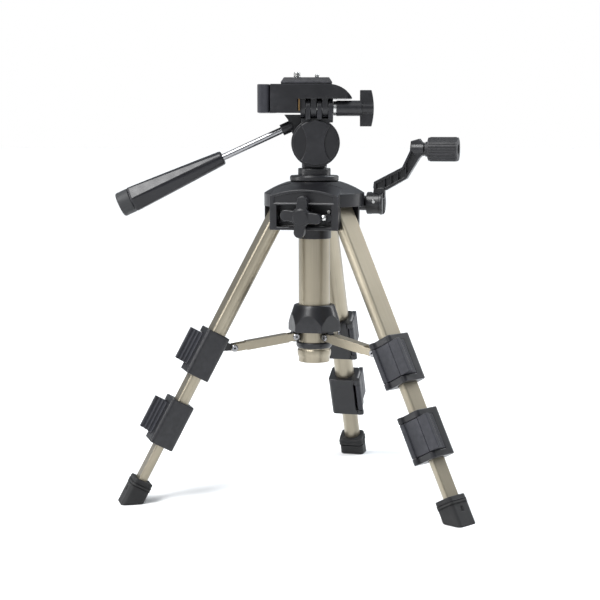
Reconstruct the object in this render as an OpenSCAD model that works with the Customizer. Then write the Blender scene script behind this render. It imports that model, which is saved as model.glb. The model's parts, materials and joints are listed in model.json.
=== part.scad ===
/* [Stand] */
// Angle of each leg from the vertical
leg_angle = 28.3; // [24:0.1:30]
// Height of the leg pivots above the floor
pivot_z = 250.8; // [246:0.1:256]
// Radius of the leg pivots around the column
pivot_r = 30.8; // [30:0.1:31.5]
// Turn of the crown, its crank and its legs away from the head, seen from above
crown_turn = -14; // [-45:1:45]

/* [Legs] */
// Width of the upper leg tube
upper_w = 21; // [20:0.1:21.4]
// Depth of the upper leg tube
upper_d = 14.6; // [14:0.1:15]
// Wall of every leg tube
tube_wall = 1; // [0.8:0.1:1.2]
// Length of a leg clamp
clamp_len = 42; // [40:0.5:46]
// Distance from the leg pivot down to the upper clamp
upper_clamp_at = 119.8; // [118:0.1:121]
// Distance from the leg pivot down to the lower clamp
lower_clamp_at = 187; // [184:0.1:189]
// Distance from the leg pivot down to the foot
foot_at = 262.5; // [258:0.1:266]

/* [Column] */
// Outer diameter of the fixed guide tube
guide_d = 27.7; // [27:0.1:28.2]
// Height of the lower end of the guide tube's cap
cap_bottom_z = 117; // [112:1:120]
// Pitch radius of the crank's pinion
pinion_r = 7.5; // [7.5:0.5:7.5]
// Number of teeth on the pinion
pinion_teeth = 15; // [15:1:15]

/* [Head] */
// Height of the tilt axis
tilt_z = 310; // [308:0.5:312]
// Radius of the round tilt cheeks
cheek_r = 21.1; // [20:0.1:21.2]
// Height of the flip axis
flip_z = 339.7; // [339:0.1:341]
// Height of the quick release plate's top face
plate_top_z = 366.1; // [365:0.1:368]
// Radius of the camera screw
screw_r = 3.1; // [3:0.05:3.2]
// Droop of the pan handle below the horizontal
handle_angle = 24.7; // [22:0.1:27]

/* [Hidden] */
$fn = 64;
LEGS = ["left", "right", "back"];
LEG_TURN = [210, 330, 90];
LEG_PARTS = ["upper_tube", "middle_tube", "lower_tube", "upper_clamp", "lower_clamp",
    "upper_lever", "lower_lever", "foot", "strut", "strut_rivets"];
CORE_PARTS = ["crown", "leg_pivot_pins", "guide_tube", "tube_end_cap", "hub_stop_ring",
    "hub", "hub_rivets", "column_lock_knob", "centre_column", "gear_rack", "crank_pinion",
    "crank_hub", "crank_fold_pin", "crank_arm", "crank_grip"];
HEAD_PARTS = ["pan_base", "tilt_body", "tilt_yoke", "tilt_covers", "tilt_bolt",
    "handle_rod", "handle_grip", "handle_cap", "platform", "flip_bolt", "flip_knob",
    "release_lever", "quick_release_plate", "camera_screw", "locating_pin"];

BLACK = [0.16, 0.16, 0.17];
LEVER_GREY = [0.26, 0.27, 0.30];
CHAMPAGNE = [0.66, 0.62, 0.54];
STEEL = [0.80, 0.80, 0.80];

far = 200;              // longer than anything that is cut or clipped
running = 0.05;         // radial clearance of a pin in its bore
gap = 0.3;              // clearance between parts that slide or swing past each other

// telescoping leg sections
middle_w = upper_w - 2 * tube_wall - 0.6;
middle_d = upper_d - 2 * tube_wall - 0.8;
lower_w = middle_w - 2 * tube_wall - 1.0;
lower_d = middle_d - 2 * tube_wall - 0.6;
leg_top = 3.2;          // length of the upper tube above its pivot
section_corner = 2.2;
upper_end = upper_clamp_at + clamp_len - 9;
middle_end = lower_clamp_at + clamp_len - 9;
middle_start = 92;      // inner ends of the sliding sections, from the pivot
lower_start = 160;
foot_len = 40;          // before the foot is cut level with the floor
pivot_pin_r = 2;

// leg clamps, with x towards the outer face of the leg
clamp_in = 9.6;
clamp_out = 12.4;
clamp_half_w = 14;
clamp_corner = 3.5;
lever_len = 30;
lever_thick = 2.6;
lever_x = -7.2;
lever_y = -14.4;
lever_knuckle_r = 2.6;
lever_peg_r = 1.3;
lug_half_w = 3.4;

// brace: hub pivot (r, z) and the pivot on the upper clamp's lug
brace_in = [17.6, 140];
brace_out = [73.5, 132];
brace_run = brace_out - brace_in;
brace_len = norm(brace_run);
brace_drop = atan2(-brace_run[1], brace_run[0]);
strut_half_w = 5;
strut_half_h = 3.9;
strut_wall = 1.05;
rivet_r = 1.5;

// hub and guide tube
guide_r = guide_d / 2;
guide_wall = 1.1;
guide_top_z = 236;
guide_bottom_z = 122;
hub_top_z = 168;
hub_bottom_z = 144.5;
hub_shoulder_z = 150.5;
hub_top_r = 18;
hub_r = 23.6;
hub_flat = 20.6;
ring_top_z = 134.9;
ring_bottom_z = 129.6;

// crown
crown_r = 44;
crown_top_z = 276.3;
band_bottom_z = 255.3;
dome_r = 79.6;
dome_z = 200.2;
shell = 3;
sleeve_r = 16.2;
slot_half_w = 11;       // half of the gap between a leg's two cheeks
cheek_wall = 3;
box_half_w = 30.3;
box_front = 38;
box_bottom_z = 235.6;
recess_top_z = 257;
knob_z = 247.5;

// rack and crank
column_r = 12.4;
column_wall = 1.4;
column_top_z = 276.6;
column_bottom_z = 124;
crank_y = 15.5;
crank_z = 257.2;
rack_pitch_y = crank_y - pinion_r;
tooth_pitch = 2 * PI * pinion_r / pinion_teeth;
rack_top_z = 270;
rack_bottom_z = 160;
shaft_r = 2.5;
crank_hub_r = 9.8;
fold_x = 51.5;
fold_z = crank_z + 1.6;
arm_half_w = 4.5;
grip_z = 304.5;

// head
tilt_x = 1;
flip_y = -12;
knuckle_r = 8.2;
flip_bolt_r = 2.5;
tongue_half_w = 7;
cheek_out = 15;
base_top_z = 288;
under_z = 347.9;        // underside of the camera platform
platform_top_z = 360.4;
platform_half_w = 22;
camera_x = -15.1;
screw_neck_r = screw_r - 0.5;
pin_x = 2.3;
latch_x = -46.2;
latch_y = 18.8;
latch_pin_r = 1.4;
handle_x = -24.4;
handle_z = 322.7;
rod_r = 3;

module in_crown() { rotate([0, 0, crown_turn]) children(); }
module at_leg(turn) { rotate([0, 0, crown_turn + turn]) children(); }

// z runs up along the leg from its pivot, x towards its outer face
module on_leg(turn) {
    at_leg(turn) translate([pivot_r, 0, pivot_z]) rotate([0, -leg_angle, 0]) children();
}

// x runs out along the strut from its hub rivet
module on_strut(turn) {
    at_leg(turn) translate([brace_in[0], 0, brace_in[1]]) rotate([0, brace_drop, 0]) children();
}

// z runs out along the pan handle
module on_handle() {
    translate([handle_x, 0, handle_z]) rotate([0, -90 - handle_angle, 0]) children();
}

module across(half_w) {
    rotate([90, 0, 0]) translate([0, 0, -half_w]) linear_extrude(2 * half_w) children();
}

// D-shaped leg section: flat outer face, straight sides, half-round inner side
module leg_section(w, d, corner) {
    centre = (w - d) / 2;
    intersection() {
        translate([centre, 0]) circle(d = w);
        translate([-d / 2, -w / 2]) square([d - corner, w]);
    }
    translate([centre, -w / 2]) square([d / 2 - corner - centre, w]);
    translate([centre, corner - w / 2]) square([d / 2 - centre, w - 2 * corner]);
    for (side = [-1, 1])
        translate([d / 2 - corner, side * (w / 2 - corner)]) circle(r = corner);
}

module leg_tube(w, d, corner, top, bottom) {
    translate([0, 0, -bottom]) linear_extrude(bottom - top) difference() {
        leg_section(w, d, corner);
        leg_section(w - 2 * tube_wall, d - 2 * tube_wall, max(corner - tube_wall, 0.3));
    }
}

module rounded(x0, x1, y0, y1, r) {
    translate([x0 + r, y0]) square([x1 - x0 - 2 * r, y1 - y0]);
    translate([x0, y0 + r]) square([x1 - x0, y1 - y0 - 2 * r]);
    for (x = [x0 + r, x1 - r]) for (y = [y0 + r, y1 - r]) translate([x, y]) circle(r = r);
}

module upper_tube(turn) {
    color(CHAMPAGNE) on_leg(turn) difference() {
        leg_tube(upper_w, upper_d, section_corner, -leg_top, upper_end);
        rotate([90, 0, 0]) cylinder(r = pivot_pin_r + running, h = far, center = true);
    }
}

module middle_tube(turn) {
    color(CHAMPAGNE) on_leg(turn) leg_tube(middle_w, middle_d, 2, middle_start, middle_end);
}

module lower_tube(turn) {
    color(CHAMPAGNE) on_leg(turn) leg_tube(lower_w, lower_d, 1.2, lower_start, foot_at + 6);
}

// collar with a wide bore for its own tube, a narrow one for the sliding tube, and the
// pocket and ears of its lever
module clamp_body(w, d, slide_w, slide_d) {
    seat = clamp_len - 9;
    pocket = lever_len + 0.6;
    difference() {
        union() {
            translate([0, 0, -clamp_len]) linear_extrude(clamp_len)
                rounded(-clamp_in, clamp_out, -clamp_half_w, clamp_half_w, clamp_corner);
            translate([lever_x, lever_y, -clamp_len]) cylinder(r = 2.8, h = clamp_len);
            translate([lever_x - 2.8, lever_y, -clamp_len])
                cube([5.6, 3, clamp_len]);
        }
        translate([0, 0, -seat]) linear_extrude(far) leg_section(w + 0.2, d + 0.2, section_corner);
        translate([0, 0, -far]) linear_extrude(2 * far)
            leg_section(slide_w + 2 * gap, slide_d + 2 * gap, 2);
        translate([-clamp_in - 1, -far - w / 2 - 1, -(clamp_len + pocket) / 2])
            cube([far, far, pocket]);
        translate([clamp_out - 2.7, -far + 3.6, -(clamp_len + pocket) / 2])
            cube([far, far, pocket]);
        translate([lever_x, lever_y, -(clamp_len + pocket) / 2 - 2.5])
            cylinder(r = lever_peg_r + running, h = pocket + 5);
    }
}

// lever: knuckle and pegs, side plate, and a stepped finger grip on the outer face
module clamp_lever() {
    steps = [[20.8, -10.4], [17.8, -6.4], [15.4, -2.4], [13.2, 3]];
    base_x = clamp_out - 2.3;
    translate([0, 0, -(clamp_len + lever_len) / 2]) {
        linear_extrude(lever_len) {
            translate([lever_x, lever_y]) circle(r = lever_knuckle_r);
            translate([lever_x, lever_y]) square([base_x - lever_x, lever_thick]);
            for (i = [0 : 3]) rounded(base_x, steps[i][0], lever_y, steps[i][1], 0.8);
        }
        translate([lever_x, lever_y, -2.2]) cylinder(r = lever_peg_r, h = lever_len + 4.4);
    }
}

module upper_clamp(turn) {
    color(BLACK) difference() {
        union() {
            on_leg(turn) translate([0, 0, -upper_clamp_at])
                clamp_body(upper_w, upper_d, middle_w, middle_d);
            brace_lug(turn);
        }
        on_leg(turn) translate([0, 0, -upper_end]) linear_extrude(far)
            leg_section(upper_w + 0.2, upper_d + 0.2, section_corner);
    }
}

// lug on the clamp's inner face that reaches into the end of the strut
module brace_lug(turn) {
    perp = cos(leg_angle) * (pivot_r + (pivot_z - brace_out[1]) * tan(leg_angle) - brace_out[0]);
    along = (pivot_z - brace_out[1]) / cos(leg_angle) - perp * tan(leg_angle);
    on_leg(turn) translate([0, 0, -along]) across(lug_half_w) {
        translate([-perp, 0]) circle(r = 2.6);
        polygon([[-perp - 0.6, 2.53], [-perp + 2.4, 1.6], [-clamp_in + 0.5, 1.6],
            [-clamp_in + 0.5, -8], [-perp - 0.6, -2.53]]);
    }
}

module lower_clamp(turn) {
    color(BLACK) on_leg(turn) translate([0, 0, -lower_clamp_at])
        clamp_body(middle_w, middle_d, lower_w, lower_d);
}

module upper_lever(turn) {
    color(LEVER_GREY) on_leg(turn) translate([0, 0, -upper_clamp_at]) clamp_lever();
}

module lower_lever(turn) {
    color(LEVER_GREY) on_leg(turn) translate([0, 0, -lower_clamp_at]) clamp_lever();
}

module foot(turn) {
    half_w = 11.5;
    half_d = 8.8;
    color(BLACK) intersection() {
        on_leg(turn) difference() {
            union() {
                translate([0, 0, -foot_at - foot_len]) linear_extrude(foot_len)
                    rounded(-half_d, half_d, -half_w, half_w, 4);
                translate([0, 0, -foot_at - 7]) linear_extrude(3)
                    rounded(-half_d - 0.3, half_d + 0.3, -half_w - 0.3, half_w + 0.3, 4.3);
            }
            translate([0, 0, -foot_at - 6]) linear_extrude(far)
                leg_section(lower_w, lower_d, 1.2);
            translate([half_d - 1, -1.2, -foot_at - 14]) cube([far, 2.4, 4]);
        }
        translate([-far, -far, 0]) cube([2 * far, 2 * far, far]);
    }
}

// folded sheet channel, open below, its web cut back at both ends
module strut(turn) {
    end_r = strut_half_h - 0.55;
    web_start = 7;
    web_end = brace_len - 11;
    color(CHAMPAGNE) on_strut(turn) difference() {
        union() {
            for (side = [-1, 1]) translate([0, side * (strut_half_w - strut_wall / 2), 0])
                across(strut_wall / 2) {
                    translate([0, -end_r]) square([brace_len, 2 * end_r]);
                    for (x = [0, brace_len]) translate([x, 0]) circle(r = end_r);
                    translate([web_start, -strut_half_h])
                        square([web_end - web_start, 2 * strut_half_h]);
                }
            translate([web_start, -strut_half_w + strut_wall / 2, strut_half_h - strut_wall])
                cube([web_end - web_start, 2 * strut_half_w - strut_wall, strut_wall]);
        }
        for (x = [0, brace_len]) translate([x, 0, 0]) rotate([90, 0, 0])
            cylinder(r = rivet_r + running, h = far, center = true);
    }
}

module rivet_head() { rotate_extrude() polygon([[0.8, 0], [3.1, 0], [3.1, 0.6], [2.3, 1.2], [0.8, 1.2]]); }

// two short hollow studs, one in each wall at the strut's outer end
module strut_rivets(turn) {
    color(STEEL) on_strut(turn) for (side = [-1, 1])
        translate([brace_len, side * strut_half_w, 0]) rotate([-90 * side, 0, 0]) {
            rivet_head();
            translate([0, 0, -strut_wall - 0.2]) difference() {
                cylinder(r = rivet_r, h = strut_wall + 0.4);
                cylinder(r = 0.8, h = far, center = true);
            }
        }
}

module hub_rivets() {
    half = strut_half_w + gap / 2;
    color(STEEL) for (turn = LEG_TURN)
        at_leg(turn) translate([brace_in[0], 0, brace_in[1]]) rotate([90, 0, 0]) {
            difference() {
                cylinder(r = rivet_r, h = 2 * half + 1, center = true);
                cylinder(r = 0.8, h = far, center = true);
            }
            for (side = [0, 1]) mirror([0, 0, side]) translate([0, 0, half]) rivet_head();
        }
}

module hub() {
    color(BLACK) difference() {
        union() {
            rotate_extrude() polygon([[guide_r + gap, hub_bottom_z], [hub_r, hub_bottom_z],
                [hub_r, hub_shoulder_z], [hub_top_r, hub_top_z - 0.8],
                [hub_top_r - 0.8, hub_top_z], [guide_r + gap, hub_top_z]]);
            for (turn = LEG_TURN) at_leg(turn) across(lug_half_w)
                translate([brace_in[0] - 3, ring_top_z + 0.6])
                    rounded(0, 6.4, 0, hub_bottom_z - ring_top_z + 2, 1.5);
        }
        for (k = [0 : 5]) at_leg(30 + 60 * k) translate([hub_flat, -far / 2, hub_bottom_z - 1])
            cube([far, far, far]);
        translate([0, 0, ring_top_z - 1]) cylinder(r = guide_r + gap, h = far);
        for (turn = LEG_TURN) at_leg(turn) translate([brace_in[0], 0, brace_in[1]])
            rotate([90, 0, 0]) cylinder(r = rivet_r + running, h = far, center = true);
    }
}

module hub_stop_ring() {
    color(BLACK) rotate_extrude() polygon([[guide_r, ring_bottom_z], [guide_r + 1, ring_bottom_z],
        [15.9, ring_bottom_z + 2], [15.9, ring_top_z - 0.6], [15.3, ring_top_z], [guide_r, ring_top_z]]);
}

module guide_tube() {
    color(CHAMPAGNE) translate([0, 0, guide_bottom_z]) difference() {
        cylinder(r = guide_r, h = guide_top_z - guide_bottom_z);
        translate([0, 0, -1]) cylinder(r = guide_r - guide_wall, h = far);
    }
}

module tube_end_cap() {
    inner = guide_r - guide_wall;
    color(CHAMPAGNE) rotate_extrude() polygon([[0, cap_bottom_z], [guide_r - 0.4, cap_bottom_z],
        [guide_r, cap_bottom_z + 0.4], [guide_r, guide_bottom_z - 0.6], [14.3, guide_bottom_z],
        [14.9, 124.6], [14.9, 127.6], [14.3, 128.6], [guide_r, 128.6], [guide_r, guide_bottom_z],
        [inner, guide_bottom_z], [inner - 1.4, guide_bottom_z - 2], [0, guide_bottom_z - 2]]);
}

module leg_pivot_pins() {
    length = 2 * (slot_half_w + cheek_wall);
    color(STEEL) for (turn = LEG_TURN) at_leg(turn) translate([pivot_r, 0, pivot_z])
        rotate([90, 0, 0]) cylinder(r = pivot_pin_r, h = length + 1, center = true);
}

module dome(outer_r, radius, bottom, top) {
    intersection() {
        translate([0, 0, dome_z]) sphere(r = outer_r, $fn = 96);
        translate([0, 0, bottom]) cylinder(r = radius, h = top - bottom, $fn = 96);
    }
}

// the two cheeks that hold a leg's pin
module leg_cheeks() {
    outline = [[17.5, 272], [crown_r - 0.6, 266], [crown_r - 0.6, 237], [40, 235.6],
        [24, 242], [17.5, 250]];
    for (side = [-1, 1]) translate([0, side * (slot_half_w + cheek_wall / 2), 0])
        across(cheek_wall / 2) polygon(outline);
}

// everything under the hood's arched roof, which slants up into the dome
module under_roof(below) {
    roof_r = 92;
    slope = 21;
    edge_z = 270.4;
    translate([0, -box_front, edge_z - roof_r / cos(slope)]) rotate([slope - 90, 0, 0])
        cylinder(r = roof_r - below, h = far, center = true, $fn = 96);
}

// hood over the lock knob
module crown_hood() {
    intersection() {
        translate([-box_half_w, -box_front - 2, box_bottom_z])
            cube([2 * box_half_w, 18, crown_top_z - box_bottom_z - 0.6]);
        under_roof(0);
    }
}

module crown() {
    color(BLACK) in_crown() difference() {
        union() {
            difference() {
                union() {
                    difference() {
                        dome(dome_r, crown_r, band_bottom_z, crown_top_z);
                        dome(dome_r - shell, crown_r - shell, 230, crown_top_z - shell);
                    }
                    crown_hood();
                    intersection() {
                        for (turn = LEG_TURN) rotate([0, 0, turn]) leg_cheeks();
                        dome(dome_r - 1, crown_r - 0.4, 230, crown_top_z - 1);
                    }
                }
                for (turn = LEG_TURN) rotate([0, 0, turn]) intersection() {
                    translate([20.5, -slot_half_w, 225]) cube([60, 2 * slot_half_w, 37]);
                    union() {
                        translate([0, 0, 220]) cylinder(r = crown_r - shell + 0.3, h = 60);
                        translate([0, 0, 220]) cylinder(r = 90, h = band_bottom_z - 220);
                    }
                }
                translate([-far / 2, -box_front - far, 200]) cube([far, far, far]);
                translate([-24, -box_front - 1, 238.4]) cube([48, 11.5, recess_top_z - 238.4]);
                intersection() {
                    translate([-26.4, -box_front - 1, recess_top_z + 1.6]) cube([52.8, 2, 20]);
                    under_roof(2.2);
                }
                translate([-20, -box_front + 12.5, box_bottom_z - 1])
                    cube([40, 60, recess_top_z - box_bottom_z + 1]);
            }
            translate([0, 0, 226.4]) cylinder(r = 14.9, h = 12);
            translate([0, 0, 237]) cylinder(r = sleeve_r, h = crown_top_z - 238);
            translate([0, -12, knob_z]) rotate([90, 0, 0]) cylinder(r = 6, h = 18);
            for (side = [-1, 1]) translate([side * 19, -25.9, 246]) rotate([90, 0, 0])
                cylinder(r = 4.2, h = 5.1);
            translate([36, crank_y, crank_z]) rotate([0, 90, 0]) cylinder(r = 6.5, h = 8);
        }
        translate([0, 0, guide_top_z]) cylinder(r = column_r + 0.1, h = far);
        translate([0, 0, 220]) cylinder(r = guide_r, h = guide_top_z - 220);
        for (turn = LEG_TURN) rotate([0, 0, turn]) translate([pivot_r, 0, pivot_z])
            rotate([90, 0, 0]) cylinder(r = pivot_pin_r, h = 40, center = true);
        translate([-17, crank_y, crank_z]) rotate([0, 90, 0])
            cylinder(r = shaft_r + running, h = far);
        translate([-4.4, 7, crank_z - 9]) cube([8.8, 18, 18]);
        translate([0, 0, knob_z]) rotate([90, 0, 0]) cylinder(r = shaft_r + running, h = far);
    }
}

// four-lobed screw knob that presses on the column
module column_lock_knob() {
    color(BLACK) in_crown() translate([0, 0, knob_z]) rotate([90, 0, 0]) {
        translate([0, 0, column_r + 0.4]) cylinder(r = shaft_r, h = 30);
        translate([0, 0, 32]) cylinder(r = 5, h = 12);
        translate([0, 0, 43]) linear_extrude(6.5) rotate(-6) {
            circle(r = 8.4);
            for (k = [0 : 3]) rotate(90 * k) {
                translate([0, -4.6]) square([13.3, 9.2]);
                translate([13.3, 0]) circle(r = 4.6);
            }
        }
        translate([0, 0, 49]) cylinder(r = 6.4, h = 1.4);
    }
}

module centre_column() {
    color(CHAMPAGNE) in_crown() difference() {
        translate([0, 0, column_bottom_z]) cylinder(r = column_r, h = column_top_z - column_bottom_z);
        translate([0, 0, column_bottom_z - 1]) cylinder(r = column_r - column_wall, h = far);
        translate([-4, 0, rack_bottom_z]) cube([8, far, rack_top_z - rack_bottom_z]);
    }
}

// D-shaped strip inside the column, with its teeth in the column's slot
module gear_rack() {
    root_y = rack_pitch_y - 1.2;
    tip_y = rack_pitch_y + 0.7;
    teeth = floor((rack_top_z - rack_bottom_z) / tooth_pitch) - 1;
    first = crank_z - tooth_pitch * floor((crank_z - rack_bottom_z) / tooth_pitch);
    color(BLACK) in_crown() {
        intersection() {
            translate([0, 0, rack_bottom_z]) cylinder(r = column_r - column_wall - 0.05,
                h = rack_top_z - rack_bottom_z);
            difference() {
                translate([-far / 2, 1, 0]) cube([far, far, 2 * far]);
                translate([-4, root_y, 0]) cube([8, far, 2 * far]);
            }
        }
        intersection() {
            rotate([90, 0, 90]) translate([0, 0, -3.95]) linear_extrude(7.9)
                for (k = [0 : teeth]) translate([0, first + tooth_pitch * (k - 0.5)])
                    polygon([[root_y - 0.3, -0.95], [root_y, -0.95], [tip_y, -0.4],
                        [tip_y, 0.4], [root_y, 0.95], [root_y - 0.3, 0.95]]);
            translate([0, 0, rack_bottom_z + 1]) cylinder(r = column_r, h = rack_top_z - rack_bottom_z - 2);
        }
    }
}

module crank_pinion() {
    root_r = pinion_r - 1.1;
    tip_r = pinion_r + 0.75;
    color(STEEL) in_crown() translate([0, crank_y, crank_z]) rotate([0, 90, 0]) {
        translate([0, 0, -3.4]) linear_extrude(6.8) {
            circle(r = root_r);
            for (k = [0 : pinion_teeth - 1]) rotate(-90 + 360 / pinion_teeth * k)
                polygon([[root_r - 1, -1.0], [root_r, -0.95], [tip_r, -0.36],
                    [tip_r, 0.36], [root_r, 0.95], [root_r - 1, 1.0]]);
        }
        translate([0, 0, -13]) cylinder(r = shaft_r, h = 61);
    }
}

module on_crank() { in_crown() translate([0, crank_y, 0]) children(); }

// driven hub with a fork for the folding arm
module crank_hub() {
    fork_half = 2.9;
    color(BLACK) on_crank() difference() {
        translate([44.6, 0, crank_z]) rotate([0, 90, 0]) {
            cylinder(r = crank_hub_r, h = 14.6);
            translate([0, 0, 11.6]) cylinder(r = crank_hub_r + 0.7, h = 2.2);
        }
        translate([40, 0, crank_z]) rotate([0, 90, 0]) cylinder(r = shaft_r, h = 8.1);
        translate([48.3, -fork_half, crank_z - far / 2]) cube([far, 2 * fork_half, far]);
        translate([fold_x, 0, fold_z]) rotate([90, 0, 0])
            cylinder(r = 1.5, h = far, center = true);
    }
}

module crank_fold_pin() {
    color(STEEL) on_crank() translate([fold_x, 0, fold_z]) rotate([90, 0, 0])
        cylinder(r = 1.5, h = 18.6, center = true);
}

// stepped arm with a recessed web on both faces, and the spindle of its grip
module crank_arm() {
    outline = [[50.2, 270.4], [50.9, 276], [75.9, 289], [82.6, 303], [83.4, 311.5], [90.6, 313.6],
        [93.6, 309.5], [93.6, 299.5], [90.7, 296.5], [79.8, 278.8], [61.4, 268.4], [60.6, 270.4]];
    web = [[53, 270.4], [53, 274.6], [77.3, 287.2], [84.6, 302.5], [88.4, 297.4], [78.4, 280.6],
        [59.6, 270.4]];
    color(BLACK) on_crank() {
        difference() {
            union() {
                across(arm_half_w) polygon(outline);
                across(2.6) {
                    translate([fold_x, fold_z]) circle(r = 2.9);
                    polygon([[fold_x - 2.6, fold_z], [50.6, 271.5], [60.2, 271.5], [60.2, 262],
                        [fold_x + 2.4, fold_z - 1.4]]);
                }
                translate([84, 0, grip_z]) rotate([0, 90, 0]) cylinder(r = 6, h = 10.8);
            }
            for (side = [-1, 1]) translate([0, side * (1.2 + far / 2), 0])
                across(far / 2) polygon(web);
            translate([fold_x, 0, fold_z]) rotate([90, 0, 0])
                cylinder(r = 1.5 + running, h = far, center = true);
        }
        for (x = [60, 66, 72, 79]) intersection() {
            across(arm_half_w) polygon(outline);
            translate([x - 0.7, -arm_half_w, 262]) cube([1.4, 2 * arm_half_w, 40]);
        }
        translate([94, 0, grip_z]) rotate([0, 90, 0]) cylinder(r = 2.2, h = 26);
    }
}

module crank_grip() {
    ribs = 28;
    grip_r = 10.2;
    color(BLACK) on_crank() translate([98.5, 0, grip_z]) rotate([0, 90, 0]) difference() {
        union() {
            cylinder(r = grip_r, h = 26);
            for (k = [0 : ribs - 1]) rotate(360 / ribs * k) translate([grip_r, 0, 1.5])
                cylinder(r = 0.45, h = 23, $fn = 8);
            translate([0, 0, -2.6]) cylinder(r = 6.5, h = 3);
        }
        translate([0, 0, -3]) cylinder(r = 2.2 + running, h = far);
        translate([0, 0, 22]) cylinder(r = 4.5, h = far);
    }
}

module pan_base() {
    color(BLACK) difference() {
        rotate_extrude() polygon([[0, 262], [column_r - column_wall - 0.2, 262],
            [column_r - column_wall - 0.2, column_top_z], [20.6, column_top_z],
            [21.4, 277.4], [21.4, 280.6], [20.4, 281.8], [14.3, 281.8], [14.3, base_top_z - 0.6],
            [13.7, base_top_z], [0, base_top_z]]);
        translate([0, 0, 280]) cylinder(r = 8 + running, h = far);
        in_crown() translate([-far / 2, 0.9, 200]) cube([far, far, rack_top_z + 0.3 - 200]);
    }
}

// turning post: neck in the base's bore, and the tongue that carries the tilt bolt
module tilt_body() {
    color(BLACK) difference() {
        union() {
            translate([0, 0, 280.4]) cylinder(r = 8, h = 12);
            intersection() {
                translate([0, 0, base_top_z + 0.3]) cylinder(r = 11, h = 8);
                translate([-far / 2, -tongue_half_w, 0]) cube([far, 2 * tongue_half_w, 2 * far]);
            }
            translate([-9, -tongue_half_w, base_top_z + 2]) cube([20, 2 * tongue_half_w, 20]);
            translate([tilt_x, 0, tilt_z]) rotate([90, 0, 0])
                cylinder(r = 17, h = 2 * tongue_half_w, center = true);
        }
        translate([tilt_x, 0, tilt_z]) rotate([90, 0, 0])
            cylinder(r = 3 + running, h = far, center = true);
        translate([-far / 2, tongue_half_w, base_top_z + 0.1]) cube([far, far, 10]);
        translate([-far / 2, -far - tongue_half_w, base_top_z + 0.1]) cube([far, far, 10]);
    }
}

module flip_bores() {
    translate([0, flip_y, flip_z]) rotate([0, 90, 0])
        cylinder(r = flip_bolt_r + running, h = far, center = true);
}

// knuckle of the flip hinge from x0 to x1, joined to its parent at height top or bottom
module knuckle(x0, x1, foot_z) {
    low = min(foot_z, flip_z);
    translate([x0, flip_y, flip_z]) rotate([0, 90, 0]) cylinder(r = knuckle_r, h = x1 - x0);
    translate([x0, flip_y - knuckle_r, low]) cube([x1 - x0, 2 * knuckle_r, abs(foot_z - flip_z)]);
}

module tilt_yoke() {
    inner = tongue_half_w + gap;
    wing = [[-26.4, 334.4], [-9, 334.4], [-9, 316], [-19.4, 318], [-20.6, 325.4], [-23.2, 330]];
    color(BLACK) difference() {
        union() {
            for (side = [-1, 1]) translate([tilt_x, side * (inner + cheek_out) / 2, tilt_z])
                rotate([90, 0, 0]) cylinder(r = cheek_r, h = cheek_out - inner, center = true);
            translate([-11.3, -cheek_out, 327.6]) cube([27.4, 2 * cheek_out, 3.6]);
            translate([-12, -3.3, 331]) cube([28.1, cheek_out + 3.3, 16.5]);
            translate([0, 1.5, 0]) across(5.5) polygon(wing);
            for (x = [-7.5, 2.4]) knuckle(x, x + 4, 330);
            knuckle(12, 16.1, 330);
            on_handle() translate([0, 0, -6]) cylinder(r = 5, h = 10.5);
        }
        translate([tilt_x, 0, tilt_z]) rotate([90, 0, 0])
            cylinder(r = 3, h = far, center = true);
        for (side = [-1, 1]) translate([tilt_x, side * (cheek_out + 5 - 3), tilt_z])
            rotate([90, 0, 0]) cylinder(r = 6.4, h = 10, center = true);
        translate([tilt_x, 0, tilt_z]) rotate([90, 0, 0])
            cylinder(r = 17.5, h = 2 * inner, center = true);
        on_handle() translate([0, 0, -9]) cylinder(r = rod_r + running, h = far);
        flip_bores();
    }
}

// round covers with a raised waisted panel, one on each cheek
module tilt_covers() {
    cover_r = cheek_r - 1.5;
    waist = 26;
    color(BLACK) translate([tilt_x, 0, tilt_z]) for (side = [-1, 1])
        rotate([-90 * side, 0, 0]) {
            translate([0, 0, cheek_out]) cylinder(r = cover_r, h = 1.2);
            translate([0, 0, cheek_out]) linear_extrude(2.8) difference() {
                circle(r = cover_r - 0.4);
                for (x = [-1, 1]) translate([x * (waist + 7.6), 0]) circle(r = waist, $fn = 96);
            }
        }
}

module tilt_bolt() {
    head = cheek_out - 3;
    color(STEEL) translate([tilt_x, 0, tilt_z]) rotate([90, 0, 0]) {
        cylinder(r = 3, h = 2 * head, center = true);
        for (side = [0, 1]) mirror([0, 0, side]) translate([0, 0, head]) cylinder(r = 5.6, h = 2.4);
    }
}

module handle_rod() {
    color(STEEL) on_handle() translate([0, 0, -8]) cylinder(r = rod_r, h = 120);
}

module handle_grip() {
    small_r = 6.3;
    wide_r = 12.3;
    start = 61.2;
    length = 88.6;
    color(BLACK) on_handle() difference() {
        union() {
            translate([0, 0, start + 2]) cylinder(r1 = small_r + 0.1, r2 = wide_r, h = length - 3.5);
            translate([0, 0, start]) cylinder(r1 = small_r - 0.8, r2 = small_r + 0.1, h = 2);
            translate([0, 0, start + length - 1.5]) cylinder(r1 = wide_r, r2 = wide_r - 0.8, h = 1.5);
        }
        translate([0, 0, start - 1]) cylinder(r = rod_r, h = 52);
        translate([0, 0, start + length - 10]) cylinder(r = 8, h = far);
    }
}

module handle_cap() {
    color(LEVER_GREY) on_handle() translate([0, 0, 149.8]) {
        cylinder(r = 10.9, h = 10.4);
        translate([0, 0, 10.4]) cylinder(r1 = 10.9, r2 = 9.9, h = 1);
        translate([0, 0, -8]) cylinder(r = 7.9, h = 9);
    }
}

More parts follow.
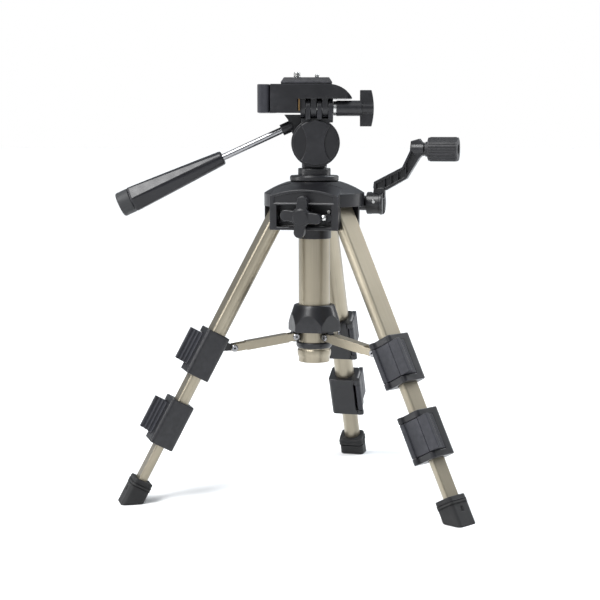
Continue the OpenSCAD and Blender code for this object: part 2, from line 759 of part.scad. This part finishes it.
module platform() {
    nose_r = 24;
    nose_x = 12;
    color(BLACK) difference() {
        union() {
            translate([-38, -platform_half_w, under_z])
                cube([nose_x + 38, 2 * platform_half_w, platform_top_z - under_z]);
            intersection() {
                translate([nose_x, 0, platform_top_z - nose_r]) rotate([90, 0, 0])
                    cylinder(r = nose_r, h = 2 * platform_half_w, center = true, $fn = 96);
                translate([nose_x, -platform_half_w, under_z]) cube([20.6, 2 * platform_half_w, 30]);
                translate([0, 0, under_z]) cylinder(r = 35, h = 30, $fn = 96);
            }
            translate([-38, -platform_half_w, 335.7]) cube([26.4, 16, 14]);
            for (x = [-12.1, -3.2, 6.7]) knuckle(x, x + (x < -10 ? 4.3 : 5), under_z + 1);
            for (z = [335.9, 357.8]) translate([0, 0, z]) linear_extrude(2.4)
                rounded(-48.6, -36, 16.2, 21.4, 2);
            translate([-38, 12, 335.9]) cube([4, 10, 13]);
            translate([latch_x, latch_y, 336]) cylinder(r = latch_pin_r, h = 24);
        }
        translate([-26, -16, 354.6]) cube([38, 32, 20]);
        translate([-14.6, -platform_half_w - 1, 337.4]) cube([2.4, 5.6, under_z - 337.4]);
        flip_bores();
    }
}

module flip_bolt() {
    color(STEEL) translate([0, flip_y, flip_z]) rotate([0, 90, 0]) {
        translate([0, 0, -11.5]) cylinder(r = flip_bolt_r, h = 46);
        translate([0, 0, 16.3]) cylinder(r = 6.2, h = 2.6);
    }
}

module flip_knob() {
    wing_r = 60;
    color(BLACK) translate([0, flip_y, flip_z]) rotate([0, 90, 0]) difference() {
        union() {
            translate([0, 0, 18.9]) cylinder(r = 6.7, h = 22);
            intersection() {
                translate([-15.6, -2.9, 39.4]) cube([31.2, 5.8, 12]);
                translate([0, 0, 51.3 - wing_r]) rotate([90, 0, 0])
                    cylinder(r = wing_r, h = far, center = true, $fn = 96);
            }
            translate([0, 0, 39]) cylinder(r = 5.4, h = 11.6);
        }
        translate([0, 0, 18]) cylinder(r = flip_bolt_r, h = 16.5);
    }
}

// swinging catch at the end of the platform
module release_lever() {
    color(BLACK) difference() {
        translate([0, 0, 335.9]) linear_extrude(24.3) {
            rounded(-49.2, -38.4, -21, 12.5, 3.6);
            rounded(-49.2, -43.2, 0, 21.6, 2.4);
        }
        for (z = [335, 357.5]) translate([-60, 15.4, z]) cube([30, 10, 3.6]);
        translate([latch_x, latch_y, 330]) cylinder(r = latch_pin_r + running, h = 40);
        for (z = [341, 346, 351]) translate([-50, -14, z]) cube([2, 22, 1.2]);
    }
}

module quick_release_plate() {
    color(BLACK) difference() {
        union() {
            intersection() {
                across(21.6) polygon([[-28.9, 360.6], [-28.9, 362.2], [-26.3, plate_top_z],
                    [12.6, plate_top_z], [15.2, 362.2], [15.2, 360.6]]);
                rotate([90, 0, 90]) translate([0, 0, -60]) linear_extrude(120)
                    polygon([[-21, 360.6], [-21, 362.2], [-18.8, plate_top_z],
                        [18.8, plate_top_z], [21, 362.2], [21, 360.6]]);
            }
            translate([-25.5, -15.6, 355]) cube([37, 31.2, 6]);
        }
        for (y = [-15 : 5 : 15]) translate([-23.4, y - 0.5, plate_top_z - 0.6]) cube([33, 1, 2]);
        translate([camera_x, 0, 350]) cylinder(r = 8, h = 13.3);
        translate([camera_x, 0, 350]) cylinder(r = screw_neck_r + running, h = 30);
        translate([camera_x, 0, plate_top_z - 0.6]) cylinder(r = screw_r + gap, h = 5);
        translate([pin_x, 0, 350]) cylinder(r = 3.2, h = 12.4);
        translate([pin_x, 0, 350]) cylinder(r = 1.9 + running, h = 30);
    }
}

module camera_screw() {
    color(STEEL) translate([camera_x, 0, 0]) difference() {
        union() {
            translate([0, 0, 360.6]) cylinder(r = screw_neck_r, h = 8);
            translate([0, 0, plate_top_z + 0.2]) cylinder(r = screw_r, h = 370.4 - plate_top_z - 0.2);
            translate([0, 0, 370.4]) cylinder(r1 = screw_r, r2 = screw_r - 0.6, h = 0.6);
            translate([0, 0, 360.6]) cylinder(r = 7.6, h = 2.5);
        }
        translate([-10, -0.7, 360]) cube([20, 1.4, 1.4]);
    }
}

module locating_pin() {
    color(STEEL) translate([pin_x, 0, 0]) {
        translate([0, 0, 359]) cylinder(r = 1.9, h = 9.7);
        translate([0, 0, 368.7]) cylinder(r1 = 1.9, r2 = 1.3, h = 0.6);
        translate([0, 0, 359.8]) cylinder(r = 2.9, h = 1.6);
    }
}

module leg_part(part, turn) {
    if (part == "upper_tube") upper_tube(turn);
    if (part == "middle_tube") middle_tube(turn);
    if (part == "lower_tube") lower_tube(turn);
    if (part == "upper_clamp") upper_clamp(turn);
    if (part == "lower_clamp") lower_clamp(turn);
    if (part == "upper_lever") upper_lever(turn);
    if (part == "lower_lever") lower_lever(turn);
    if (part == "foot") foot(turn);
    if (part == "strut") strut(turn);
    if (part == "strut_rivets") strut_rivets(turn);
}

for (i = [0 : 2]) for (part = LEG_PARTS)
    leg_part(part, LEG_TURN[i]);
crown();
leg_pivot_pins();
guide_tube();
tube_end_cap();
hub_stop_ring();
hub();
hub_rivets();
column_lock_knob();
centre_column();
gear_rack();
crank_pinion();
crank_hub();
crank_fold_pin();
crank_arm();
crank_grip();
pan_base();
tilt_body();
tilt_yoke();
tilt_covers();
tilt_bolt();
handle_rod();
handle_grip();
handle_cap();
platform();
flip_bolt();
flip_knob();
release_lever();
quick_release_plate();
camera_screw();
locating_pin();
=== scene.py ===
import json
import math

import bmesh
import bpy
from mathutils import Euler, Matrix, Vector


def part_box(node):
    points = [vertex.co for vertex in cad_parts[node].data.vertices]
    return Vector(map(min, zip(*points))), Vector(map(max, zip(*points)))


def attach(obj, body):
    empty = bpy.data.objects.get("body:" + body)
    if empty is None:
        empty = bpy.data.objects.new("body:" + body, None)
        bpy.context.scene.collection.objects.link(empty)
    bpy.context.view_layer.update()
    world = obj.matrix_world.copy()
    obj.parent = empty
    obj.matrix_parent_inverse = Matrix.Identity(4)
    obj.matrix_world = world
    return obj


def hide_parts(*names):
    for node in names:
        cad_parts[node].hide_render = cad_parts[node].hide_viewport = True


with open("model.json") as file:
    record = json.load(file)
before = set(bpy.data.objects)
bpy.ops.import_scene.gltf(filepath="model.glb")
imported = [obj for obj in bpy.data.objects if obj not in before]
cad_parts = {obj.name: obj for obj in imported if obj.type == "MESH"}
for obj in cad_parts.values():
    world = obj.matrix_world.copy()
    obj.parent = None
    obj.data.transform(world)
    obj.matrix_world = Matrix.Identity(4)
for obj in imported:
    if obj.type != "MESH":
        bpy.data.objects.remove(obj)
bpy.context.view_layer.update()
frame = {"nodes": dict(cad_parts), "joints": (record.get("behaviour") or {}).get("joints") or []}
NODES = frame["nodes"]
MM = 0.001
LEGS = ("left", "right", "back")
WELD_MM = 0.002
BEVEL_ANGLE = math.radians(38)
BEVEL_SEGMENTS = 2
CREASE_ANGLE = math.radians(32)


# ---------------------------------------------------------------- material helpers

def new_material(name):
    """A material whose tree has only a Principled shader and its output."""
    material = bpy.data.materials.new(name)
    material.use_nodes = True
    return material, material.node_tree, material.node_tree.nodes["Principled BSDF"]


def node(tree, kind, **values):
    made = tree.nodes.new(kind)
    for key, value in values.items():
        setattr(made, key, value)
    return made


def object_coordinates(tree, turn=(0, 0, 0), stretch=(1, 1, 1)):
    """Object coordinates in the row frame, turned first and then stretched."""
    coordinates = node(tree, "ShaderNodeTexCoord")
    turned = node(tree, "ShaderNodeMapping")
    turned.inputs["Rotation"].default_value = turn
    stretched = node(tree, "ShaderNodeMapping")
    stretched.inputs["Scale"].default_value = stretch
    tree.links.new(coordinates.outputs["Object"], turned.inputs["Vector"])
    tree.links.new(turned.outputs["Vector"], stretched.inputs["Vector"])
    return stretched.outputs["Vector"]


def noise(tree, vector, scale, detail=2.0, roughness=0.5):
    made = node(tree, "ShaderNodeTexNoise")
    made.inputs["Scale"].default_value = scale
    made.inputs["Detail"].default_value = detail
    made.inputs["Roughness"].default_value = roughness
    tree.links.new(vector, made.inputs["Vector"])
    return made.outputs["Fac"]


def remap(tree, value, low, high, from_low=0.3, from_high=0.7):
    made = node(tree, "ShaderNodeMapRange")
    made.inputs["From Min"].default_value = from_low
    made.inputs["From Max"].default_value = from_high
    made.inputs["To Min"].default_value = low
    made.inputs["To Max"].default_value = high
    tree.links.new(value, made.inputs["Value"])
    return made.outputs["Result"]


def blend_colours(tree, factor, first, second):
    made = node(tree, "ShaderNodeMix", data_type="RGBA")
    tree.links.new(factor, made.inputs["Factor"])
    for socket, colour in ((made.inputs[6], first), (made.inputs[7], second)):
        if isinstance(colour, tuple):
            socket.default_value = (*colour, 1)
        else:
            tree.links.new(colour, socket)
    return made.outputs[2]


def multiply(tree, first, second):
    made = node(tree, "ShaderNodeMath", operation="MULTIPLY")
    tree.links.new(first, made.inputs[0])
    tree.links.new(second, made.inputs[1])
    return made.outputs[0]


def bump(tree, shader, height, strength, distance):
    made = node(tree, "ShaderNodeBump")
    made.inputs["Strength"].default_value = strength
    made.inputs["Distance"].default_value = distance
    tree.links.new(height, made.inputs["Height"])
    tree.links.new(made.outputs["Normal"], shader.inputs["Normal"])


def worn_edges(tree, vector):
    """High on convex edges, broken up by noise."""
    geometry = node(tree, "ShaderNodeNewGeometry")
    edge = remap(tree, geometry.outputs["Pointiness"], 0, 1, 0.52, 0.62)
    return multiply(tree, edge, remap(tree, noise(tree, vector, 260, 3), 0.15, 1))


def plastic(name, dark, light, worn, rough, grain, grain_depth, sheen=0.32):
    """Moulded plastic: mottled colour, spark-eroded grain in mm, edges rubbed lighter."""
    material, tree, shader = new_material(name)
    shader.inputs["Specular IOR Level"].default_value = sheen
    vector = object_coordinates(tree)
    body = blend_colours(tree, remap(tree, noise(tree, vector, 45, 3), 0, 1), dark, light)
    colour = blend_colours(tree, worn_edges(tree, vector), body, worn)
    tree.links.new(colour, shader.inputs["Base Color"])
    patches = noise(tree, vector, 120, 4, 0.6)
    tree.links.new(remap(tree, patches, rough - 0.05, rough + 0.07), shader.inputs["Roughness"])
    bump(tree, shader, noise(tree, vector, grain, 2), 0.35, grain_depth * MM)
    return material


def black_plastic():
    """Satin black of the crown, the clamps and the head."""
    return plastic("black_plastic", dark=(0.0055, 0.0055, 0.0068),
                   light=(0.0085, 0.0085, 0.0102), worn=(0.050, 0.050, 0.058),
                   rough=0.34, grain=900, grain_depth=0.04, sheen=0.42)


def crank_plastic():
    """Duller black of the crank's ribbed grip."""
    return plastic("crank_plastic", dark=(0.014, 0.014, 0.016),
                   light=(0.020, 0.020, 0.023), worn=(0.070, 0.070, 0.078),
                   rough=0.46, grain=700, grain_depth=0.06, sheen=0.4)


def lever_plastic():
    """Slightly bluish black of the clamp levers and the release lever."""
    return plastic("lever_plastic", dark=(0.013, 0.0135, 0.017),
                   light=(0.021, 0.0215, 0.027), worn=(0.075, 0.075, 0.088),
                   rough=0.46, grain=700, grain_depth=0.10)


def cap_plastic():
    """Dark grey of the cap on the handle's end."""
    return plastic("cap_plastic", dark=(0.024, 0.025, 0.027),
                   light=(0.033, 0.034, 0.036), worn=(0.09, 0.09, 0.09),
                   rough=0.52, grain=900, grain_depth=0.05)


def foot_rubber():
    return plastic("foot_rubber", dark=(0.010, 0.010, 0.0105),
                   light=(0.016, 0.016, 0.0165), worn=(0.05, 0.048, 0.045),
                   rough=0.60, grain=600, grain_depth=0.10)


def grip_plastic():
    """Smooth, lightly coated black of the pan handle's grip."""
    material = plastic("grip_plastic", dark=(0.0075, 0.0075, 0.0095),
                       light=(0.0105, 0.0105, 0.0130), worn=(0.040, 0.040, 0.047),
                       rough=0.31, grain=300, grain_depth=0.01, sheen=0.3)
    shader = material.node_tree.nodes["Principled BSDF"]
    shader.inputs["Coat Weight"].default_value = 0.08
    shader.inputs["Coat Roughness"].default_value = 0.2
    return material


def brushed_metal(name, colour, shade, rough, stretch, turn=(0, 0, 0), depth=0, metallic=1.0):
    """Metal with fine lines along one direction and slow changes of tone, depth in mm."""
    material, tree, shader = new_material(name)
    shader.inputs["Metallic"].default_value = metallic
    lines = noise(tree, object_coordinates(tree, turn, stretch), 1.0, 3, 0.6)
    slow = noise(tree, object_coordinates(tree), 30, 2)
    body = blend_colours(tree, remap(tree, slow, 0, 1), colour, shade)
    darker = tuple(0.93 * c for c in shade)
    tree.links.new(blend_colours(tree, remap(tree, lines, 0, 0.6), body, darker),
                   shader.inputs["Base Color"])
    tree.links.new(remap(tree, lines, rough - 0.03, rough + 0.04), shader.inputs["Roughness"])
    if depth:
        bump(tree, shader, lines, 0.15, depth * MM)
    return material


def champagne(name, turn=(0, 0, 0)):
    """Anodised tube with its drawing lines along local z after the turn."""
    return brushed_metal(name, colour=(0.335, 0.300, 0.232), shade=(0.300, 0.266, 0.202),
                         rough=0.34, stretch=(1500, 1500, 22), turn=turn, depth=0.01,
                         metallic=0.80)


def chrome():
    """Bright plating, toned down so that its reflections keep their shape."""
    return brushed_metal("chrome", colour=(0.30, 0.30, 0.31), shade=(0.26, 0.26, 0.27),
                         rough=0.24, stretch=(40, 40, 40))


def steel():
    return brushed_metal("steel", colour=(0.62, 0.62, 0.61), shade=(0.52, 0.52, 0.51),
                         rough=0.26, stretch=(260, 260, 60))


def brass():
    return brushed_metal("brass", colour=(0.30, 0.19, 0.09), shade=(0.22, 0.14, 0.065),
                         rough=0.34, stretch=(1200, 1200, 90), depth=0.02)


# ---------------------------------------------------------------- CAD nodes

def bevel_edges(thing, width):
    """Rounds the sharp edges of a CAD node for show, as modifiers only."""
    weld = thing.modifiers.new("weld", "WELD")
    weld.merge_threshold = WELD_MM * MM
    soft = thing.modifiers.new("bevel", "BEVEL")
    soft.width = width * MM
    soft.segments = BEVEL_SEGMENTS
    soft.limit_method = "ANGLE"
    soft.angle_limit = BEVEL_ANGLE
    soft.use_clamp_overlap = False
    soft.loop_slide = False
    soft.face_strength_mode = "FSTR_ALL"
    normals = thing.modifiers.new("normals", "WEIGHTED_NORMAL")
    normals.keep_sharp = True
    normals.use_face_influence = True


def dress(name, material, width=None):
    """Gives a CAD node its material and, with a width in mm, its rounded edges."""
    thing = NODES[name]
    thing.data.materials.clear()
    thing.data.materials.append(material)
    if width:
        bevel_edges(thing, width)


def leg_turn(leg):
    """Euler turn that brings the leg's length onto z, from where the leg runs."""
    foot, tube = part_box(f"{leg}_foot"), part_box(f"{leg}_upper_tube")
    down = sum(foot, Vector()) / 2 - sum(tube, Vector()) / 2
    return down.rotation_difference(Vector((0, 0, 1))).to_euler()


def dress_legs(black, lever, rubber, rivet):
    """Three legs, each with tubes brushed along its own length."""
    for leg in LEGS:
        tube = champagne(f"champagne_{leg}", leg_turn(leg))
        for material, width, *parts in (
                (tube, 0.25, "upper_tube", "middle_tube", "lower_tube"),
                (tube, 0.3, "strut"),
                (rivet, 0.2, "strut_rivets"),
                (black, 0.7, "upper_clamp", "lower_clamp"),
                (lever, 0.5, "upper_lever", "lower_lever"),
                (rubber, 0.8, "foot")):
            for part in parts:
                dress(f"{leg}_{part}", material, width)
        for part in ("upper_lever", "lower_lever"):
            NODES[f"{leg}_{part}"].modifiers["bevel"].miter_outer = "MITER_ARC"


# ---------------------------------------------------------------- new pieces

def finished(name, mesh, body, slot, material, *stands_for):
    """A new piece from mesh data in the row frame."""
    thing = bpy.data.objects.new(name, mesh)
    bpy.context.scene.collection.objects.link(thing)
    mesh.materials.append(material)
    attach(thing, body)
    if stands_for:
        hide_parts(*stands_for)
    return thing


def skin(name, rings, caps=True):
    """A closed tube mesh through rings of points, smooth but for its sharp edges."""
    made = bmesh.new()
    rows = [[made.verts.new(p) for p in ring] for ring in rings]
    count = len(rows[0])
    for first, second in zip(rows, rows[1:]):
        for k in range(count):
            made.faces.new((first[k], first[(k + 1) % count],
                            second[(k + 1) % count], second[k]))
    if caps:
        made.faces.new(rows[0][::-1])
        made.faces.new(rows[-1])
    bmesh.ops.recalc_face_normals(made, faces=made.faces)
    for face in made.faces:
        face.smooth = True
    for edge in made.edges:
        if len(edge.link_faces) == 2 and edge.calc_face_angle() > CREASE_ANGLE:
            edge.smooth = False
    mesh = bpy.data.meshes.new(name)
    made.to_mesh(mesh)
    made.free()
    return mesh


def handle_axes():
    """Start of the pan handle's rod at the yoke and its directions, from the joint."""
    joint = next(j for j in frame["joints"] if j["name"] == "handle_twist")
    along = Vector(joint["axis"]).normalized()
    side = along.cross(Vector((0, 1, 0))).normalized()
    return Vector(joint["pos_m"]), along, side, along.cross(side)


def handle_grip(material):
    """Tapered grip with long flats that widen towards its thick end."""
    origin, along, side, across = handle_axes()
    start, length = 61.2, 88.6
    small, wide, bore, cap_bore = 6.3, 12.3, 3.4, 8.2
    flats, count, steps = 6, 144, 60
    deepest_cut = 0.105
    tilt = math.radians(62)
    rings = []

    def ring(distance, radius, cut):
        points = []
        for k in range(count):
            angle = 2 * math.pi * k / count
            off = (angle - tilt + math.pi / flats) % (2 * math.pi / flats) - math.pi / flats
            r = min(radius, radius * cut / math.cos(off))
            points.append(origin + MM * (along * distance
                          + (side * math.cos(angle) + across * math.sin(angle)) * r))
        rings.append(points)

    ring(start + 8, bore, 1)
    ring(start + 0.2, bore, 1)
    ring(start, bore + 0.2, 1)
    ring(start, small - 1.1, 1)
    ring(start + 0.4, small - 0.5, 1)
    ring(start + 1.2, small, 1)
    for k in range(steps + 1):
        t = k / steps
        cut = 1 - deepest_cut * min(1, max(0, (t - 0.06) / 0.94)) ** 0.8
        ring(start + 1.6 + (length - 3) * t, small + (wide - small) * t, cut)
    ring(start + length - 0.6, wide - 0.5, 0.897)
    ring(start + length, wide - 1.3, 0.90)
    ring(start + length, cap_bore, 1)
    ring(start + length - 6, cap_bore - 0.1, 1)
    return finished("handle_grip_moulding", skin("handle_grip_moulding", rings, False),
                    "handle", "grip_plastic", material, "handle_grip")


def circle_points(centre, radius, height, count):
    """A level ring of points around centre, sizes in mm."""
    return [(centre.x + MM * radius * math.cos(2 * math.pi * i / count),
             centre.y + MM * radius * math.sin(2 * math.pi * i / count), MM * height)
            for i in range(count)]


def threaded_screw(material):
    """The camera screw with its head, its neck in the plate and its cut thread."""
    low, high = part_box("camera_screw")
    centre, bottom, top = (low + high) / 2, low.z / MM, high.z / MM
    head_r = (high.x - low.x) / MM / 2
    head_h, neck_h, rim = 2.5, 5.2, 0.4
    crest, root, pitch, lead_in = 3.08, 2.5, 1.27, 1.2
    start, end = bottom + neck_h, top - 0.4
    count, steps = 64, 90
    rings = [circle_points(centre, r, z, count) for r, z in (
        (head_r - rim, bottom), (head_r, bottom + rim), (head_r, bottom + head_h - rim),
        (head_r - rim, bottom + head_h), (root, bottom + head_h))]
    for k in range(steps + 1):
        z = start + (end - start) * k / steps
        points = []
        for i in range(count):
            angle = 2 * math.pi * i / count
            phase = ((z - start) / pitch - angle / (2 * math.pi)) % 1
            depth = min(1, 1.25 * abs(2 * phase - 1))
            r = root + (crest - root) * depth * min(1, (top - z) / lead_in)
            points.append((centre.x + MM * r * math.cos(angle),
                           centre.y + MM * r * math.sin(angle), MM * z))
        rings.append(points)
    rings.append(circle_points(centre, root - 0.3, top, count))
    return finished("camera_screw_thread", skin("camera_screw_thread", rings),
                    "camera_screw", "bright_steel", material, "camera_screw")


def crown_point(x, y, z):
    """A point in the crown's own turn, in mm, x along the hood and y away from it."""
    low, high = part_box("column_lock_knob")
    out = Vector(((low.x + high.x) / 2, (low.y + high.y) / 2, 0)).normalized()
    side = Vector((-out.y, out.x, 0))
    return MM * (side * x - out * y + Vector((0, 0, z)))


def hood_screws(material):
    """Two domed screw heads with a drilled centre, on the bosses in the hood's recess."""
    head_r, apart, face_y, height, count = 2.9, 38, -31.0, 246.0, 40
    profile = ((head_r - 0.3, 0), (head_r, -0.3), (head_r, -0.7), (head_r - 0.6, -1.3),
               (head_r - 1.6, -1.7), (0.8, -1.9), (0.7, -1.5), (0.1, -1.5))
    for side, name in ((-1, "hood_screw_left"), (1, "hood_screw_right")):
        rings = []
        for radius, out in profile:
            turns = [2 * math.pi * i / count for i in range(count)]
            rings.append([crown_point(side * apart / 2 + radius * math.cos(turn),
                                      face_y + out, height + radius * math.sin(turn))
                          for turn in turns])
        finished(name, skin(name, rings), "stand", "bright_steel", material)


def brass_strip(material):
    """Thin nut strip that shows in the slot beside the flip hinge."""
    hinge = next(j for j in frame["joints"] if j["name"] == "flip")
    centre = Vector(hinge["pos_m"])
    x0, x1, z0, z1, chamfer = -13.9, -12.6, -2.2, 8.1, 0.35
    front, back = centre.y / MM - 8.2, centre.y / MM - 5.6
    rings = []
    for y, cut in ((front, chamfer), (front + chamfer, 0), (back, 0)):
        rings.append([MM * Vector((x, y, centre.z / MM + z)) for x, z in (
            (x0 + cut, z0), (x1 - cut, z0), (x1, z0 + cut), (x1, z1 - cut),
            (x1 - cut, z1), (x0 + cut, z1), (x0, z1 - cut), (x0, z0 + cut))])
    return finished("brass_strip", skin("brass_strip", rings), "platform", "bright_steel",
                    material)


# ---------------------------------------------------------------- studio

def aim(thing, place, target):
    """Stands a thing at a place with its -Z towards the target."""
    thing.location = place
    thing.rotation_euler = (Vector(target) - Vector(place)).to_track_quat("-Z", "Y").to_euler()


def softbox(name, place, target, size, power, colour=(1, 1, 1)):
    """A rectangular lamp, size in metres and power in watts."""
    light = bpy.data.lights.new(name, "AREA")
    light.shape = "RECTANGLE"
    light.size, light.size_y = size
    light.energy = power
    light.color = colour
    thing = bpy.data.objects.new(name, light)
    bpy.context.scene.collection.objects.link(thing)
    aim(thing, place, target)


def sun(power, direction, angle):
    """A wide sun, angle in degrees, shining along the direction."""
    light = bpy.data.lights.new("sun", "SUN")
    light.energy = power
    light.angle = math.radians(angle)
    thing = bpy.data.objects.new("sun", light)
    bpy.context.scene.collection.objects.link(thing)
    aim(thing, (0, 0, 2), Vector((0, 0, 2)) + Vector(direction))


def tent_light(tree):
    """Bluish tent for reflections: bright above, darker towards the horizon."""
    direction = node(tree, "ShaderNodeTexCoord").outputs["Generated"]
    parts = node(tree, "ShaderNodeSeparateXYZ")
    tree.links.new(direction, parts.inputs["Vector"])
    tent = node(tree, "ShaderNodeBackground")
    tent.inputs["Color"].default_value = (0.90, 0.95, 1, 1)
    dim, bright = 0.10, 0.66
    strength = remap(tree, parts.outputs["Z"], dim, bright, 0.0, 0.8)
    tree.links.new(strength, tent.inputs["Strength"])
    return tent.outputs["Background"]


def studio():
    """Lamps around the part, and a world that is white only where the camera sees it."""
    middle, head = (0, 0, 0.2), (0.03, 0, 0.27)
    sun(2.5, (0.55, 0.62, -1.15), 26)
    softbox("key", (-1.0, -1.3, 1.3), middle, (0.7, 0.9), 16)
    softbox("left_strip", (-1.5, -0.1, 0.5), middle, (0.2, 1.4), 9)
    softbox("right_rim", (1.3, 0.7, 0.8), middle, (0.3, 1.2), 8)
    softbox("top_right", (0.75, 0.25, 1.25), head, (0.5, 0.5), 9, (0.88, 0.94, 1))
    world = bpy.data.worlds.new("studio")
    bpy.context.scene.world = world
    world.use_nodes = True
    tree = world.node_tree
    back = tree.nodes["Background"]
    back.inputs["Color"].default_value = (1, 1, 1, 1)
    back.inputs["Strength"].default_value = 1.0
    path = node(tree, "ShaderNodeLightPath")
    mix = node(tree, "ShaderNodeMixShader")
    tree.links.new(path.outputs["Is Camera Ray"], mix.inputs["Fac"])
    tree.links.new(tent_light(tree), mix.inputs[1])
    tree.links.new(back.outputs["Background"], mix.inputs[2])
    tree.links.new(mix.outputs["Shader"], tree.nodes["World Output"].inputs["Surface"])


def floor():
    """White paper just under the feet, wide enough to reach past the horizon."""
    width, drop = 60, 0.0002
    bpy.ops.mesh.primitive_plane_add(size=width, location=(0, 0, -drop))
    plane = bpy.context.object
    plane.name = "floor"
    material, tree, shader = new_material("floor_paper")
    vector = object_coordinates(tree)
    tone = remap(tree, noise(tree, vector, 3, 2), 0, 1)
    tree.links.new(blend_colours(tree, tone, (0.94, 0.94, 0.94), (0.96, 0.96, 0.96)),
                   shader.inputs["Base Color"])
    shader.inputs["Roughness"].default_value = 0.9
    plane.data.materials.append(material)


def camera():
    """A long lens in front, a little above the head and looking slightly down."""
    distance, height, down, turn = 1.311, 0.3186, 6.4, 0.55
    lens, sensor = 89.4, 36
    data = bpy.data.cameras.new("camera")
    data.lens = lens
    data.sensor_width = sensor
    thing = bpy.data.objects.new("camera", data)
    thing.location = (0, -distance, height)
    thing.rotation_euler = Euler((math.radians(90 - down), 0, math.radians(turn)))
    bpy.context.scene.collection.objects.link(thing)
    bpy.context.scene.camera = thing


# ---------------------------------------------------------------- assembly

def dress_rows(rows):
    """Dresses nodes from rows of a material, a bevel width in mm and the nodes' names."""
    for material, width, *names in rows:
        for name in names:
            dress(name, material, width)


def dress_core(black, champ, rivet, turned, grip):
    """The stand, the hub, the column and the crank."""
    dress_rows((
        (champ, 0.2, "guide_tube", "centre_column"),
        (champ, 0.25, "tube_end_cap"),
        (black, 0.6, "column_lock_knob"),
        (black, 0.5, "crown"),
        (black, 0.4, "hub", "pan_base", "crank_hub"),
        (black, 0.35, "crank_arm"),
        (black, 0.3, "hub_stop_ring"),
        (black, 0.15, "gear_rack"),
        (turned, 0.2, "leg_pivot_pins", "crank_pinion", "crank_fold_pin"),
        (rivet, 0.2, "hub_rivets"),
        (grip, 0.2, "crank_grip")))


def dress_head(black, lever, cap, rod, turned, grip):
    """The pan and tilt head with its platform and its handle."""
    dress_rows((
        (black, 0.3, "tilt_body"),
        (black, 0.4, "tilt_yoke", "tilt_covers", "platform", "quick_release_plate"),
        (black, 0.5, "flip_knob"),
        (lever, 0.5, "release_lever"),
        (cap, 0.6, "handle_cap"),
        (turned, 0.15, "tilt_bolt", "flip_bolt", "camera_screw", "locating_pin"),
        (grip, None, "handle_grip"),
        (rod, None, "handle_rod")))


bpy.context.scene.view_settings.view_transform = "Standard"
BLACK, LEVER, CAP, RUBBER = black_plastic(), lever_plastic(), cap_plastic(), foot_rubber()
GRIP, CHROME, STEEL = grip_plastic(), chrome(), steel()
dress_legs(BLACK, LEVER, RUBBER, CHROME)
dress_core(BLACK, champagne("champagne_column"), CHROME, STEEL, crank_plastic())
dress_head(BLACK, LEVER, CAP, CHROME, STEEL, GRIP)
handle_grip(GRIP)
threaded_screw(STEEL)
hood_screws(STEEL)
brass_strip(brass())
floor()
studio()
camera()
